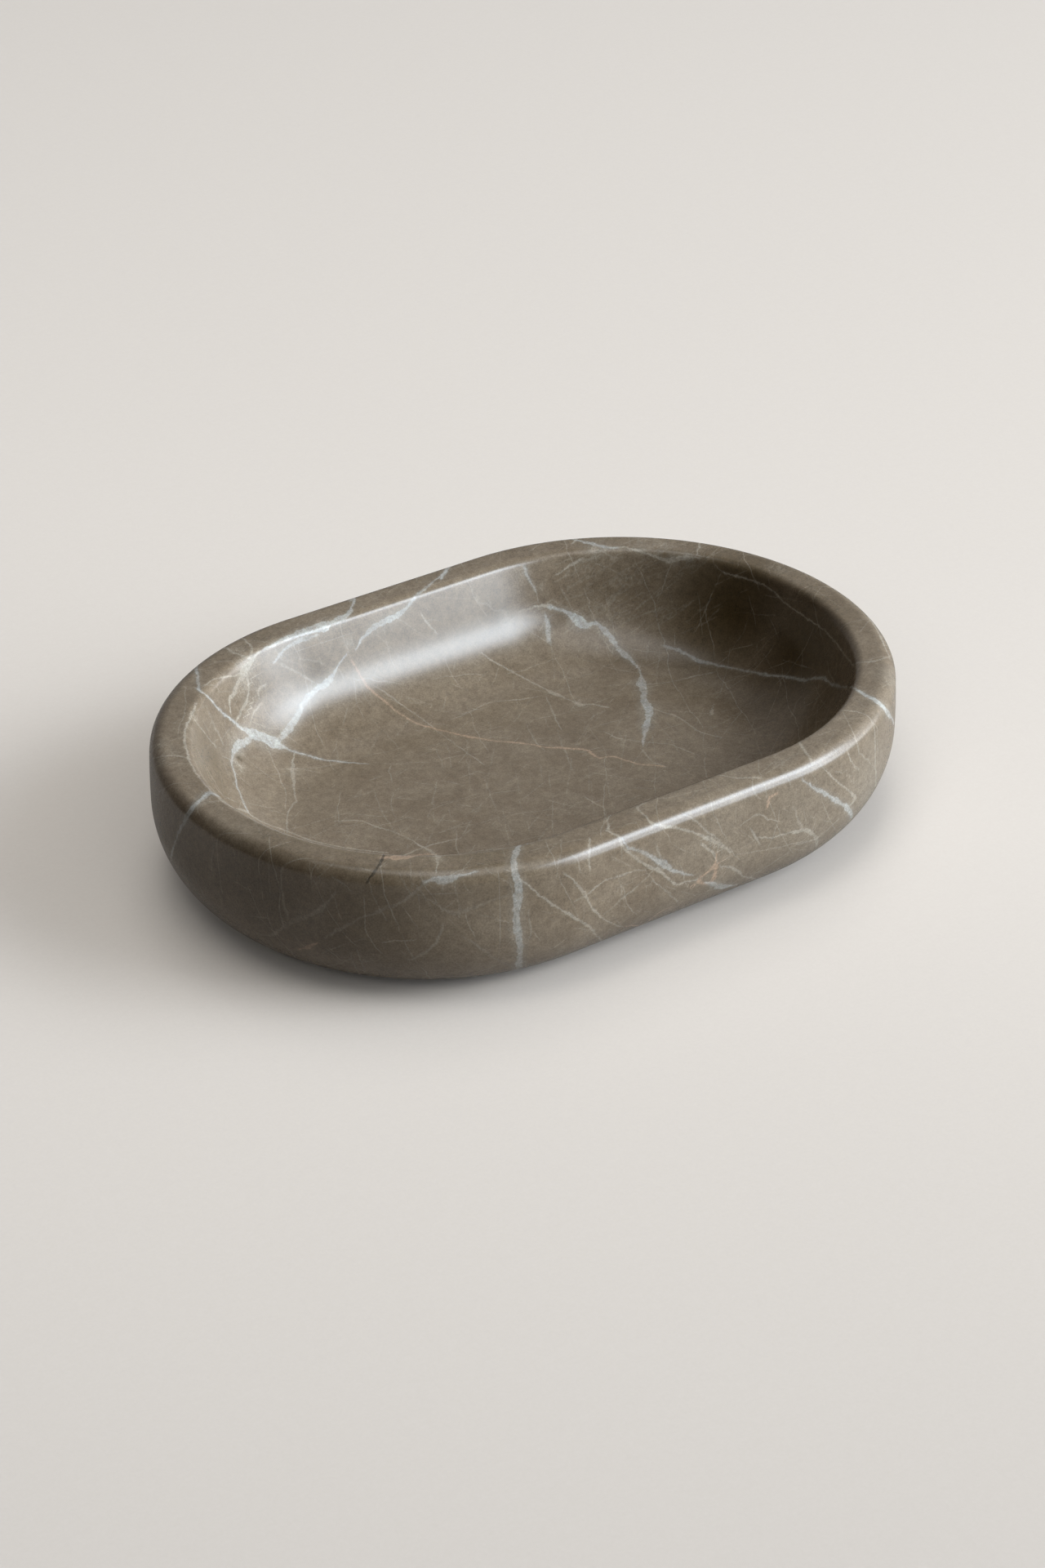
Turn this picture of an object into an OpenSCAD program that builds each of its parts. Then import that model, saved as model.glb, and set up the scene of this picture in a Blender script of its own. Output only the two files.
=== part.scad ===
// Marble soap dish: a stadium-shaped stone tray on four thin protective pads.
// Origin on the supporting surface under the centre, long side along X, +Z up.

/* [Dish] */
// Length over the two rounded ends
dish_length = 150; // [130:1:180]
// Width over the two long sides
dish_width = 105; // [90:1:120]
// Height of the rim above the surface that the dish stands on
dish_height = 31; // [27:0.5:38]

/* [Hollow] */
// Width of the flat rim and its outer rounding, up to where the inner rounding starts
rim_width = 6.5; // [5:0.5:9]
// Lean of the hollow's wall away from upright
wall_lean = 22; // [5:1:35]
// Radius of the turn from the hollow's wall to its floor
hollow_radius = 18; // [8:0.5:22]
// Thickness of the floor under the hollow
floor_thickness = 11; // [7:0.5:14]

/* [Rounding] */
// Radius of the rim's outer edge
rim_outer_radius = 3; // [1:0.25:4]
// Radius of the rim's inner edge
rim_inner_radius = 2; // [0.5:0.25:2.5]
// Radius of the slow outward bulge in the upper part of the wall
bulge_radius = 150; // [80:10:400]
// Radius of the turn from the wall to the underside
underside_radius = 18; // [12:0.5:20]

/* [Pads] */
// Diameter of each pad
pad_diameter = 10; // [6:0.5:14]
// Thickness of each pad, which is how far it lifts the stone
pad_thickness = 1; // [0.5:0.25:2]
// Radius of each pad's lower edge
pad_edge_radius = 0.3; // [0.1:0.05:0.4]
// Distance between a pad and the edge of the flat underside
pad_margin = 6; // [3:0.5:10]
// Angle of each pad round the centre of its end, from the long axis
pad_angle = 50; // [30:5:70]

/* [Hidden] */
$fn = 96;
// How far a cut runs past the face that it opens
overrun = 1;

// Directions in a section, as angles from straight outwards
outward = 0;
upward = 90;
inward = 180;
downward = -90;

// Levels above the supporting surface
underside_z = pad_thickness;
widest_z = underside_z + underside_radius;
floor_z = underside_z + floor_thickness;

// Plan sizes: each end is a half circle about a centre on the long axis
half_width = dish_width / 2;
half_straight = (dish_length - dish_width) / 2;
flat_half_width = half_width - underside_radius;

// Centre of the bulge, level with the widest line
bulge_x = half_width - bulge_radius;
// Centre of the rim's outer rounding, which touches the bulge from inside
rim_turn_z = dish_height - rim_outer_radius;
rim_turn_rise = asin((rim_turn_z - widest_z) / (bulge_radius - rim_outer_radius));
rim_turn_x = bulge_x + (bulge_radius - rim_outer_radius) * cos(rim_turn_rise);

// Centre of the rim's inner rounding
inner_turn = [half_width - rim_width, dish_height - rim_inner_radius];
// Way that the hollow's wall faces, and its run down towards the floor
wall_facing = inward - wall_lean;
wall_run = [cos(wall_facing + upward), sin(wall_facing + upward)];
wall_top = inner_turn + rim_inner_radius * [cos(wall_facing), sin(wall_facing)];
// The turn to the floor takes no more than this share of the wall
turn_share = 0.95;
wall_drop = wall_top.y - floor_z;
floor_turn_radius = min(hollow_radius, turn_share * wall_drop / (1 - sin(wall_lean)));
// Length of straight wall that is left above the turn
wall_length = (wall_drop - floor_turn_radius * (1 - sin(wall_lean))) / cos(wall_lean);
wall_foot = wall_top + wall_length * wall_run;
floor_turn = wall_foot + floor_turn_radius * [cos(wall_facing), sin(wall_facing)];

// Where each pad sits round the centre of its end
pad_radius = pad_diameter / 2;
pad_reach = flat_half_width - pad_margin - pad_radius;

// What a rounding takes off: everything outside its arc between two angles
module corner(radius, first, last) {
    reach = radius + overrun;
    half_turn = (last - first) / 2;
    tip = reach / cos(half_turn);
    difference() {
        polygon([
            [0, 0],
            reach * [cos(first), sin(first)],
            tip * [cos(first + half_turn), sin(first + half_turn)],
            reach * [cos(last), sin(last)]
        ]);
        circle(radius);
    }
}

// Solid outline of one half of the section, from the middle out to the wall
module outer_half() {
    difference() {
        intersection() {
            translate([0, underside_z]) square([half_width, dish_height - underside_z]);
            translate([bulge_x, widest_z]) circle(bulge_radius);
        }
        translate([flat_half_width, widest_z]) corner(underside_radius, downward, outward);
        translate([rim_turn_x, rim_turn_z]) corner(rim_outer_radius, rim_turn_rise, upward);
    }
}

// One half of the hollow's section, opened past the rim
module hollow_half() {
    difference() {
        polygon([
            [0, floor_z],
            [floor_turn.x, floor_z],
            floor_turn,
            wall_foot,
            wall_top,
            inner_turn,
            [inner_turn.x, dish_height + overrun],
            [0, dish_height + overrun]
        ]);
        translate(inner_turn) circle(rim_inner_radius);
    }
    intersection() {
        translate([0, floor_z]) square([wall_top.x, dish_height - floor_z]);
        translate(floor_turn) circle(floor_turn_radius);
    }
}

// One half of the stone's section
module half_section() {
    difference() {
        outer_half();
        hollow_half();
    }
}

// One rounded end: half a turn of the section about the end's own centre
module dish_end() {
    translate([half_straight, 0, 0]) rotate([0, 0, -90]) rotate_extrude(angle = 180) half_section();
}

// The stone, carved in one piece
module dish_body() {
    color("#6f645b") {
        dish_end();
        mirror([1, 0, 0]) dish_end();
        rotate([90, 0, 90]) linear_extrude(height = 2 * half_straight, center = true) {
            half_section();
            mirror([1, 0]) half_section();
        }
    }
}

// One self-adhesive pad: a flat disc with its lower edge rounded, at the given end and side
module pad(end, side) {
    place = pad_reach * [cos(pad_angle), sin(pad_angle)];
    color("#3b3a38") translate([end * (half_straight + place.x), side * place.y, 0])
    rotate_extrude() difference() {
        square([pad_radius, pad_thickness]);
        translate([pad_radius - pad_edge_radius, pad_edge_radius]) corner(pad_edge_radius, downward, outward);
    }
}

dish_body();
pad(-1, -1);  // pad_front_left
pad(1, -1);  // pad_front_right
pad(-1, 1);  // pad_back_left
pad(1, 1);  // pad_back_right
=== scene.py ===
import math

import bpy
import numpy as np
from mathutils import Matrix, Vector
from mathutils.bvhtree import BVHTree


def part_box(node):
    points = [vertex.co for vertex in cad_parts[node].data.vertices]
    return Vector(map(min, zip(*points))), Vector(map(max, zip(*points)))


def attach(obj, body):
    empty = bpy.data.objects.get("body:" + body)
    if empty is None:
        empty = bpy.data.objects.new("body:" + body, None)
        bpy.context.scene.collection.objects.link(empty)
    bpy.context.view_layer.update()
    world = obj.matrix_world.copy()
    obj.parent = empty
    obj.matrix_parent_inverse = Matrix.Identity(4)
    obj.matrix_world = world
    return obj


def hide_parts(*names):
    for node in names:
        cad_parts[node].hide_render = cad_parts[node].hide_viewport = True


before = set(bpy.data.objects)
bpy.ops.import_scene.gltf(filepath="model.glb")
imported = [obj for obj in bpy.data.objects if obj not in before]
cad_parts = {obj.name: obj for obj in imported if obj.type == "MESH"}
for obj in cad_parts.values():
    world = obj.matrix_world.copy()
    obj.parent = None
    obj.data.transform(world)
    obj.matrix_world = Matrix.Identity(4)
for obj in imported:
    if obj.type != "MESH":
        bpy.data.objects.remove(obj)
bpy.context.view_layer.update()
mm = 0.001
print("frame loaded")


# Camera, at the photograph's viewpoint

photoView = {
    "turn": -34.69,            # degrees round the dish, from straight in front
    "height": 32.14,           # degrees above the table
    "roll": -0.27,
    "distance": 0.66514,
    "lens": 78.61,             # mm, for the sensor below
    "sensor": 36,              # mm, along the picture's long side
    "size": (1280, 1920),      # the picture in pixels
    "focal": 4192.69,          # the same lens in pixels
    "centre": (648.38, 1013.83),   # pixel where the middle of the base lands
}


def polar(centre, radius, angle):
    angle = math.radians(angle)
    return centre[0] + radius * math.cos(angle), centre[1] + radius * math.sin(angle)


def direction(azimuth, elevation=0):
    # Outwards from the dish, by degrees from +X and above the table
    azimuth, elevation = math.radians(azimuth), math.radians(elevation)
    flat = math.cos(elevation)
    return Vector((math.cos(azimuth) * flat, math.sin(azimuth) * flat, math.sin(elevation)))


def cameraMatrix(view):
    back = direction(view["turn"] - 90, view["height"])
    right = direction(view["turn"])
    up = back.cross(right)
    roll = math.radians(view["roll"])
    rolledRight = math.cos(roll) * right + math.sin(roll) * up
    rolledUp = math.cos(roll) * up - math.sin(roll) * right
    wide, tall = view["size"]
    offX = (view["centre"][0] - wide / 2) / view["focal"]
    offY = (tall / 2 - view["centre"][1]) / view["focal"]
    aim = Vector((0, 0, -1)).rotation_difference(Vector((offX, offY, -1)).normalized())
    axes = Matrix((rolledRight, rolledUp, back)).transposed()
    matrix = (axes @ aim.to_matrix().transposed()).to_4x4()
    matrix.translation = back * view["distance"]
    return matrix


def makeCamera(view):
    data = bpy.data.cameras.new("photoCamera")
    data.lens = view["lens"]
    data.sensor_width = view["sensor"]
    camera = bpy.data.objects.new("photoCamera", data)
    camera.matrix_world = cameraMatrix(view)
    bpy.context.scene.collection.objects.link(camera)
    bpy.context.scene.camera = camera


makeCamera(photoView)
viewMatrix = cameraMatrix(photoView)
farMatrix = cameraMatrix({**photoView, "turn": photoView["turn"] + 180})
print("camera placed")


# Small helpers for meshes and nodes

def setMode(mode):
    bpy.ops.object.mode_set(mode=mode)


def pickAll(action="SELECT"):
    bpy.ops.mesh.select_all(action=action)


def deselectAll():
    if bpy.context.object and bpy.context.object.mode != "OBJECT":
        setMode("OBJECT")
    bpy.ops.object.select_all(action="DESELECT")


def addNode(tree, kind, inputs=None, **settings):
    node = tree.nodes.new(kind)
    for name, value in settings.items():
        setattr(node, name, value)
    for name, value in (inputs or {}).items():
        if isinstance(value, bpy.types.NodeSocket):
            tree.links.new(value, node.inputs[name])
        else:
            node.inputs[name].default_value = value
    return node


def calc(tree, operation, a, b=0.0):
    return addNode(tree, "ShaderNodeMath", {0: a, 1: b}, operation=operation).outputs[0]


def times(tree, a, b):
    return calc(tree, "MULTIPLY", a, b)


def plus(tree, a, b):
    return calc(tree, "ADD", a, b)


def remap(tree, value, fromLow, fromHigh, toLow=0.0, toHigh=1.0, smooth=False):
    inputs = {"Value": value, "From Min": fromLow, "From Max": fromHigh, "To Min": toLow, "To Max": toHigh}
    kind = "SMOOTHSTEP" if smooth else "LINEAR"
    return addNode(tree, "ShaderNodeMapRange", inputs, interpolation_type=kind).outputs["Result"]


def mixColour(tree, factor, a, b):
    return addNode(tree, "ShaderNodeMix", {0: factor, 6: a, 7: b}, data_type="RGBA").outputs[2]


def scaled(tree, colour, factor):
    return addNode(tree, "ShaderNodeVectorMath", {0: colour, "Scale": factor}, operation="SCALE").outputs[0]


def split(tree, vector):
    return addNode(tree, "ShaderNodeSeparateXYZ", {0: vector}).outputs


def noise(tree, place, scale, detail, roughness, distortion=0.0):
    inputs = {"Vector": place, "Scale": scale, "Detail": detail, "Roughness": roughness, "Distortion": distortion}
    return addNode(tree, "ShaderNodeTexNoise", inputs).outputs[0]


def objectPlace(tree):
    return addNode(tree, "ShaderNodeTexCoord").outputs["Object"]


def attributeOf(tree, name):
    return addNode(tree, "ShaderNodeAttribute", attribute_name=name).outputs["Vector"]


def newGroup(name, inputs, outputs):
    # Inputs are numbers with their starting value, or vectors where that is None
    tree = bpy.data.node_groups.new(name, "ShaderNodeTree")
    for label, value in inputs.items():
        kind = "NodeSocketVector" if value is None else "NodeSocketFloat"
        socket = tree.interface.new_socket(label, in_out="INPUT", socket_type=kind)
        if value is not None:
            socket.default_value = value
    for label in outputs:
        tree.interface.new_socket(label, in_out="OUTPUT", socket_type="NodeSocketFloat")
    return tree, tree.nodes.new("NodeGroupInput").outputs, tree.nodes.new("NodeGroupOutput").inputs


def placeGroup(tree, group, inputs):
    return addNode(tree, "ShaderNodeGroup", inputs, node_tree=group).outputs


def newMaterial(name):
    material = bpy.data.materials.new(name)
    material.use_nodes = True
    tree = material.node_tree
    return material, tree, tree.nodes["Principled BSDF"]


# The stone's shape

stoneShape = {
    "rimWidth": 6.5 * mm,
    "wallLean": 22,            # degrees
    "hollowRadius": 18 * mm,
    "floorThickness": 11 * mm,
    "rimOuterRadius": 3 * mm,
    "rimInnerRadius": 2 * mm,
    "bulgeRadius": 150 * mm,
    "undersideRadius": 18 * mm,
    "step": 0.68 * mm,         # spacing of the points along the section
    "undersideStep": 2 * mm,   # and along the flat underside
    "turnShare": 1.3,          # the spacing round the turn under the wall, as a share of "step"
    "outerShare": 0.7,         # round the rim's outer edge
    "innerShare": 0.6,         # and round its inner edge
    "endSteps": 200,           # steps round each half-round end
    "straightSteps": 28,       # steps along half of the straight part
    "merge": 0.001 * mm,       # points closer than this become one
}


def sectionOfStone(shape, low, high):
    halfWidth = high.y
    top = high.z
    base = low.z
    widest = base + shape["undersideRadius"]
    floor = base + shape["floorThickness"]
    flat = halfWidth - shape["undersideRadius"]
    points = []

    def line(start, stop, step):
        count = max(1, round(math.dist(start, stop) / step))
        for i in range(1, count + 1):
            points.append((start[0] + (stop[0] - start[0]) * i / count, start[1] + (stop[1] - start[1]) * i / count))

    def arc(centre, radius, first, last, step):
        count = max(4, round(radius * math.radians(abs(last - first)) / step))
        for i in range(1, count + 1):
            points.append(polar(centre, radius, first + (last - first) * i / count))

    step = shape["step"]
    points.append((0, base))
    line(points[-1], (flat, base), shape["undersideStep"])
    arc((flat, widest), shape["undersideRadius"], -90, 0, step * shape["turnShare"])
    bulge, outer = shape["bulgeRadius"], shape["rimOuterRadius"]
    rise = math.degrees(math.asin((top - outer - widest) / (bulge - outer)))
    arc((halfWidth - bulge, widest), bulge, 0, rise, step)
    turnX = polar((halfWidth - bulge, widest), bulge - outer, rise)[0]
    arc((turnX, top - outer), outer, rise, 90, step * shape["outerShare"])
    inner = (halfWidth - shape["rimWidth"], top - shape["rimInnerRadius"])
    line(points[-1], (inner[0], top), step)
    facing = 180 - shape["wallLean"]
    arc(inner, shape["rimInnerRadius"], 90, facing, step * shape["innerShare"])
    normal = polar((0, 0), 1, facing)
    radius = shape["hollowRadius"]
    wallTop = points[-1]
    drop = wallTop[1] - floor - radius * (1 - normal[1])
    run = drop / -normal[0]
    foot = (wallTop[0] - run * normal[1], wallTop[1] + run * normal[0])
    line(wallTop, foot, step)
    arc(polar(foot, radius, facing), radius, facing - 180, -90, step)
    line(points[-1], (0, floor), step)
    return points


def modelStone(shape):
    low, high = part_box("dish_body")
    section = sectionOfStone(shape, low, high)
    endX = high.x - high.y     # centre of the half-round end
    deselectAll()
    bpy.ops.mesh.primitive_plane_add(size=2 * mm)
    stone = bpy.context.object
    stone.name = stone.data.name = "stoneDish"
    setMode("EDIT")
    pickAll()
    bpy.ops.mesh.merge(type="CENTER")
    bpy.ops.transform.translate(value=(endX, 0, section[0][1]))
    for here, there in zip(section, section[1:]):      # the section, drawn point by point
        stepAlong = (0, here[0] - there[0], there[1] - here[1])
        bpy.ops.mesh.extrude_region_move(TRANSFORM_OT_translate={"value": stepAlong})
    pickAll()
    bpy.ops.mesh.spin(steps=shape["endSteps"], angle=math.pi, center=(endX, 0, 0), axis=(0, 0, -1))
    pickAll()
    bpy.ops.mesh.remove_doubles(threshold=shape["merge"])
    pickAll("DESELECT")
    bpy.ops.mesh.select_mode(type="EDGE")
    bpy.ops.mesh.select_non_manifold()                 # both open ends of the half turn
    for i in range(shape["straightSteps"]):
        stepBack = (-endX / shape["straightSteps"], 0, 0)
        bpy.ops.mesh.extrude_region_move(TRANSFORM_OT_translate={"value": stepBack})
    setMode("OBJECT")
    mirror = stone.modifiers.new("otherHalf", "MIRROR")
    mirror.use_axis = (True, False, False)
    mirror.merge_threshold = shape["merge"]
    bpy.ops.object.modifier_apply(modifier=mirror.name)
    setMode("EDIT")
    bpy.ops.mesh.select_mode(type="VERT")
    pickAll()
    bpy.ops.mesh.remove_doubles(threshold=shape["merge"])
    bpy.ops.mesh.normals_make_consistent(inside=False)
    setMode("OBJECT")
    bpy.ops.object.shade_smooth()
    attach(stone, "root")
    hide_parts("dish_body")
    print("stone modelled:", len(stone.data.vertices), "points,", len(stone.data.polygons), "faces")
    return stone


stone = modelStone(stoneShape)


# Where the veins run. Each route is a few points read off the photograph (x, y, width in
# pixels), dropped onto the stone along the camera's line of sight. Routes on one layer keep clear
# of each other.
veinLayers = {"veinA": {
    "yMain": [(244, 845, 2), (252, 851, 2), (261, 860, 2.5), (270, 871, 2.5), (282, 880, 3), (292, 889, 4),
        (301, 894, 6), (312, 899, 12), (326, 905, 13), (338, 910, 11), (348, 915, 6), (358, 920, 3.5),
        (372, 924, 3.5), (388, 928, 3.5), (400, 931, 2.5), (417, 933, 2.5), (445, 935, 1.5)],
    "leftRim": [(264, 973, 4), (257, 971, 4), (250, 975, 6), (243, 982, 6), (235, 990, 6), (228, 1001, 6),
        (220, 1017, 4), (213, 1036, 3), (208, 1055, 2)],
    "rimBlue": [(1042, 841, 2), (1054, 847, 4), (1064, 853, 5), (1073, 858, 6), (1080, 864, 8), (1087, 872, 7),
        (1093, 881, 4), (1096, 890, 2)],
    # a pale vein and a painted highlight along the back left lip
    "backStreakAndLipHighlight": [(326, 793, 2), (345, 784, 4), (360, 778, 7), (380, 771, 9), (400, 765, 10), (414, 759, 8),
        (425, 753, 5), (432, 742, 3), (434, 728, 2)],
}, "veinB": {
    "yUp": [(341, 909, 5), (348, 900, 6), (355, 890, 8), (362, 880, 8), (368, 868, 7), (378, 853, 8), (389, 844, 9),
        (400, 837, 7), (406, 829, 5), (412, 818, 3), (422, 804, 1.5)],
    "yTop": [(438, 791, 1.5), (446, 780, 4), (456, 770, 7), (470, 762, 8), (482, 757, 7), (492, 750, 5),
        (503, 738, 4), (514, 726, 3), (545, 701, 2)],
    "yDown": [(308, 903, 4), (300, 909, 8), (291, 913, 9), (286, 920, 6), (284, 928, 4), (284, 937, 4), (288, 947, 3),
        (289, 958, 2.5), (293, 969, 2), (297, 979, 2), (302, 991, 2)],
    "floorBig": [(676, 744, 3), (688, 747, 4), (698, 752, 6), (705, 759, 11), (711, 763, 11), (720, 765, 6),
        (730, 762, 5), (736, 768, 6), (746, 778, 7), (756, 792, 7), (766, 802, 6), (775, 811, 5), (783, 819, 2),
        (785, 828, 3), (785, 836, 11), (788, 843, 9), (788, 856, 6), (795, 867, 12), (794, 878, 8), (792, 889, 9),
        (789, 900, 3.5), (788, 911, 1.5)],
    "rightShoulder": [(986, 956, 2), (993, 962, 3), (1001, 967, 4), (1011, 972, 4), (1020, 978, 5), (1030, 984, 5),
        (1038, 989, 5), (1042, 997, 5), (1043, 1005, 3), (1041, 1012, 2)],
    "rimWhite": [(704, 661, 2), (713, 663, 4), (725, 666, 5), (740, 670, 4), (752, 671, 2)],
    "lowPatch": [(866, 1081, 3), (876, 1084, 6), (887, 1086, 8), (900, 1084, 2)],
}, "veinG": {
    "frontUpright": [(638, 1032, 4), (632, 1043, 6), (629, 1055, 7), (630, 1067, 7), (634, 1080, 8), (635, 1093, 8),
        (633, 1118, 7), (633, 1130, 8), (635, 1145, 9), (637, 1162, 7), (636, 1190, 6)],
    "wallBlue": [(764, 1031, 2), (770, 1038, 3), (782, 1041, 3), (794, 1047, 4), (804, 1053, 5), (813, 1058, 6),
        (822, 1064, 5), (833, 1068, 3), (845, 1071, 2)],
    "blueSpot": [(525, 1078, 3), (533, 1077, 6), (545, 1077, 7), (555, 1075, 6), (565, 1071, 3), (578, 1069, 2)],
    "rightLong": [(816, 792, 2), (832, 797, 4), (844, 803, 4), (856, 809, 4), (870, 813, 4), (892, 817, 3),
        (930, 825, 3), (970, 830, 3), (986, 833, 3), (1000, 830, 3), (1010, 831, 3), (1019, 838, 3), (1032, 841, 3),
        (1042, 841, 2)],
    "wallStreak": [(338, 808, 3), (352, 793, 5), (367, 785, 6), (385, 779, 3)],
    "netEdge": [(644, 698, 4), (648, 710, 3), (654, 720, 2)],
    "floorStroke": [(669, 757, 3), (671, 768, 5), (672, 782, 4)],
}, "veinC": {
    "wallZigzag": [(745, 1012, 2), (744, 1017, 2), (750, 1021, 2.5), (757, 1025, 3), (763, 1037, 2.5),
        (777, 1049, 2.5), (790, 1058, 3.5), (798, 1062, 4), (807, 1066, 3.5), (820, 1077, 2.5), (828, 1083, 3),
        (837, 1081, 2.5), (850, 1078, 2)],
    "wallLoop": [(787, 985, 1.5), (779, 989, 3), (785, 994, 2.5), (793, 1002, 2.5), (799, 1008, 3.5),
        (817, 1012, 2.5), (828, 1013, 3), (843, 1018, 2.5), (860, 1023, 2.5), (869, 1027, 4), (877, 1032, 4),
        (886, 1037, 3.5), (893, 1041, 2)],
    "rightArc": [(890, 702, 2), (925, 712, 2), (945, 722, 2), (960, 737, 2), (990, 758, 2), (1010, 772, 2),
        (1022, 785, 2), (1045, 815, 2)],
    "wallRight": [(887, 1061, 2), (896, 1062, 3.5), (904, 1068, 3), (911, 1073, 3), (923, 1076, 2)],
    "wallLow": [(640, 1079, 2), (655, 1091, 2), (680, 1110, 2.5), (702, 1122, 2.5), (722, 1135, 2.5),
        (729, 1143, 2.5), (737, 1151, 2.5), (746, 1153, 2)],
    # painted highlight along the rim's inner rounding, on the left and the front
    "lipHighlight": [(240, 863, 2), (234, 877, 3.5), (228, 890, 2.5), (226, 905, 2.5), (229, 920, 2.5), (234, 936, 2),
        (243, 950, 2), (254, 964, 2), (268, 977, 2), (283, 988, 2.5), (300, 993, 4), (310, 1000, 2), (325, 1008, 2),
        (355, 1019, 2), (385, 1030, 2), (430, 1039, 1.5), (470, 1044, 1.5)],
    "rimLoop": [(752, 671, 2), (765, 670, 2.5), (778, 673, 3), (788, 677, 3), (800, 680, 3), (812, 685, 4),
        (821, 687, 6), (831, 684, 5), (843, 682, 4), (853, 683, 2)],
    "rimNode": [(512, 1034, 2), (525, 1041, 3), (536, 1049, 5), (536, 1056, 3), (535, 1064, 2)],
    "rightFork": [(934, 1025, 1.5), (950, 1025, 2), (964, 1020, 2.5), (976, 1018, 4), (986, 1016, 4), (995, 1021, 4),
        (1000, 1026, 5), (1000, 1034, 4), (999, 1041, 2)],
    "netTop": [(275, 792, 2), (288, 800, 3), (302, 805, 4)],
    "backDash": [(684, 702, 2), (698, 693, 3), (708, 687, 4)],
}, "veinD": {
    "yBranch": [(360, 922, 2), (359, 932, 3), (358, 940, 4), (359, 949, 5), (360, 960, 2.5), (361, 972, 2.5),
        (362, 982, 2.5), (355, 990, 2), (352, 998, 1.5), (352, 1018, 2)],
    "floorSide": [(800, 867, 2), (812, 872, 2), (826, 876, 2.5), (840, 884, 2), (850, 892, 2), (862, 898, 2),
        (880, 902, 1.5)],
    "floorCross": [(593, 802, 1.5), (612, 814, 2), (640, 829, 2.5), (652, 836, 2.5), (668, 844, 3), (677, 849, 5),
        (688, 853, 3), (700, 858, 2), (710, 863, 5), (722, 862, 3), (740, 865, 2.5)],
    "wallTwin": [(843, 1000, 1.5), (852, 1005, 2), (862, 1015, 2), (872, 1022, 2), (884, 1033, 2)],
    "rimRight": [(1052, 811, 2), (1068, 810, 3), (1080, 807, 2.5), (1090, 803, 1.5)],
    "rimCorner": [(1034, 870, 1.5), (1046, 871, 2), (1058, 874, 2.5), (1066, 880, 2.5), (1070, 888, 2.5),
        (1072, 900, 2.5), (1072, 930, 2.5), (1073, 960, 3), (1072, 972, 2)],
    "nodeLine": [(695, 1072, 2), (703, 1079, 2), (710, 1087, 2.5), (717, 1097, 4), (723, 1107, 2.5), (730, 1117, 2),
        (738, 1125, 2), (758, 1134, 2)],
    "backShort": [(518, 755, 2), (532, 773, 3)],
    "shoulderStub": [(1011, 943, 2), (1020, 952, 2), (1030, 960, 2), (1040, 969, 2.5), (1048, 978, 4), (1044, 984, 3),
        (1038, 988, 2)],
    "uprightShort": [(722, 1030, 3), (722, 1043, 2.5), (721, 1052, 3), (722, 1061, 1.5)],
    "forkSide": [(978, 1034, 1.5), (988, 1031, 2.5), (998, 1028, 2)],
    "nodeStub": [(862, 1035, 3), (867, 1038, 4), (873, 1043, 3), (877, 1051, 2)],
    "rimDash": [(880, 949, 1.5), (900, 952, 2.5), (926, 952, 2)],
    "browDash": [(658, 743, 3), (668, 742, 4), (676, 743, 3)],
    "sideNode": [(921, 1018, 2), (925, 1024, 4), (929, 1030, 2)],
    "cornerLine": [(1040, 924, 2), (1044, 934, 2), (1050, 941, 3)],
}, "veinE": {
    "salmonFloor": [(433, 813, 1.5), (440, 825, 3), (450, 840, 2.5), (460, 850, 2.5), (475, 862, 2), (495, 877, 2),
        (510, 885, 2), (535, 893, 2.5), (570, 901, 2.5), (605, 907, 2.5), (640, 910, 2), (670, 915, 2.5),
        (708, 917, 3), (720, 919, 3), (728, 925, 3), (736, 928, 2.5), (746, 926, 2), (758, 928, 2), (780, 935, 2),
        (809, 938, 1.5)],
    "salmonRim": [(472, 1050, 4), (487, 1050, 7), (500, 1049, 6), (513, 1047, 4), (530, 1046, 2)],
    "brownDots": [(369, 1162, 3), (378, 1159, 5), (385, 1156, 3)],
    "salmonLoop": [(878, 1050, 2), (877, 1057, 3), (869, 1066, 4), (858, 1074, 3), (854, 1079, 4), (861, 1081, 4),
        (870, 1081, 4), (875, 1074, 3.5), (878, 1060, 3)],
    "lowStreak": [(770, 1134, 1.5), (787, 1132, 2), (800, 1123, 2), (808, 1117, 2.5), (818, 1112, 2)],
    "rimSpeck": [(948, 974, 3), (942, 978, 3), (940, 985, 2)],
}, "veinH": {
    "ochreWall": [(319, 1144, 2), (333, 1145, 3), (345, 1136, 4), (357, 1129, 6), (368, 1125, 7), (380, 1120, 6),
        (390, 1115, 6), (400, 1107, 4), (408, 1097, 3)],
    "ochreMid": [(526, 1079, 2), (512, 1089, 3), (497, 1101, 3.5), (487, 1107, 4), (472, 1112, 4), (455, 1120, 3),
        (442, 1124, 2)],
    "ochreEnd": [(433, 1129, 3), (426, 1132, 4), (412, 1140, 3), (400, 1147, 2)],
    "wallPale": [(525, 1102, 1.5), (540, 1111, 2), (552, 1118, 5), (558, 1118, 6), (567, 1116, 4), (580, 1111, 3),
        (617, 1098, 1.5)],
    "ochreThin": [(410, 1076, 2), (420, 1081, 3), (427, 1088, 2)],
    "underLine": [(572, 1150, 2), (590, 1162, 3), (607, 1174, 2), (630, 1185, 2)],
}, "veinF": {
    "floorLongTwo": [(462, 842, 1.5), (485, 858, 2), (505, 872, 2), (520, 882, 1.5), (535, 895, 1.5), (560, 913, 1.5),
        (590, 934, 1.5)],
    "floorArc": [(555, 880, 1.5), (580, 870, 2), (600, 860, 2), (640, 856, 2.5), (657, 853, 1.5)],
    "frontLine": [(415, 1005, 1.5), (440, 1005, 2), (460, 1012, 2), (480, 1018, 1.5), (500, 1026, 2), (512, 1034, 2)],
    "floorThin": [(744, 898, 1.5), (757, 904, 2), (785, 908, 1.5), (812, 910, 2), (826, 913, 2), (840, 919, 2),
        (853, 924, 1.5)],
    "floorTail": [(787, 919, 2), (793, 926, 2), (800, 933, 2), (813, 938, 2)],
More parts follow.
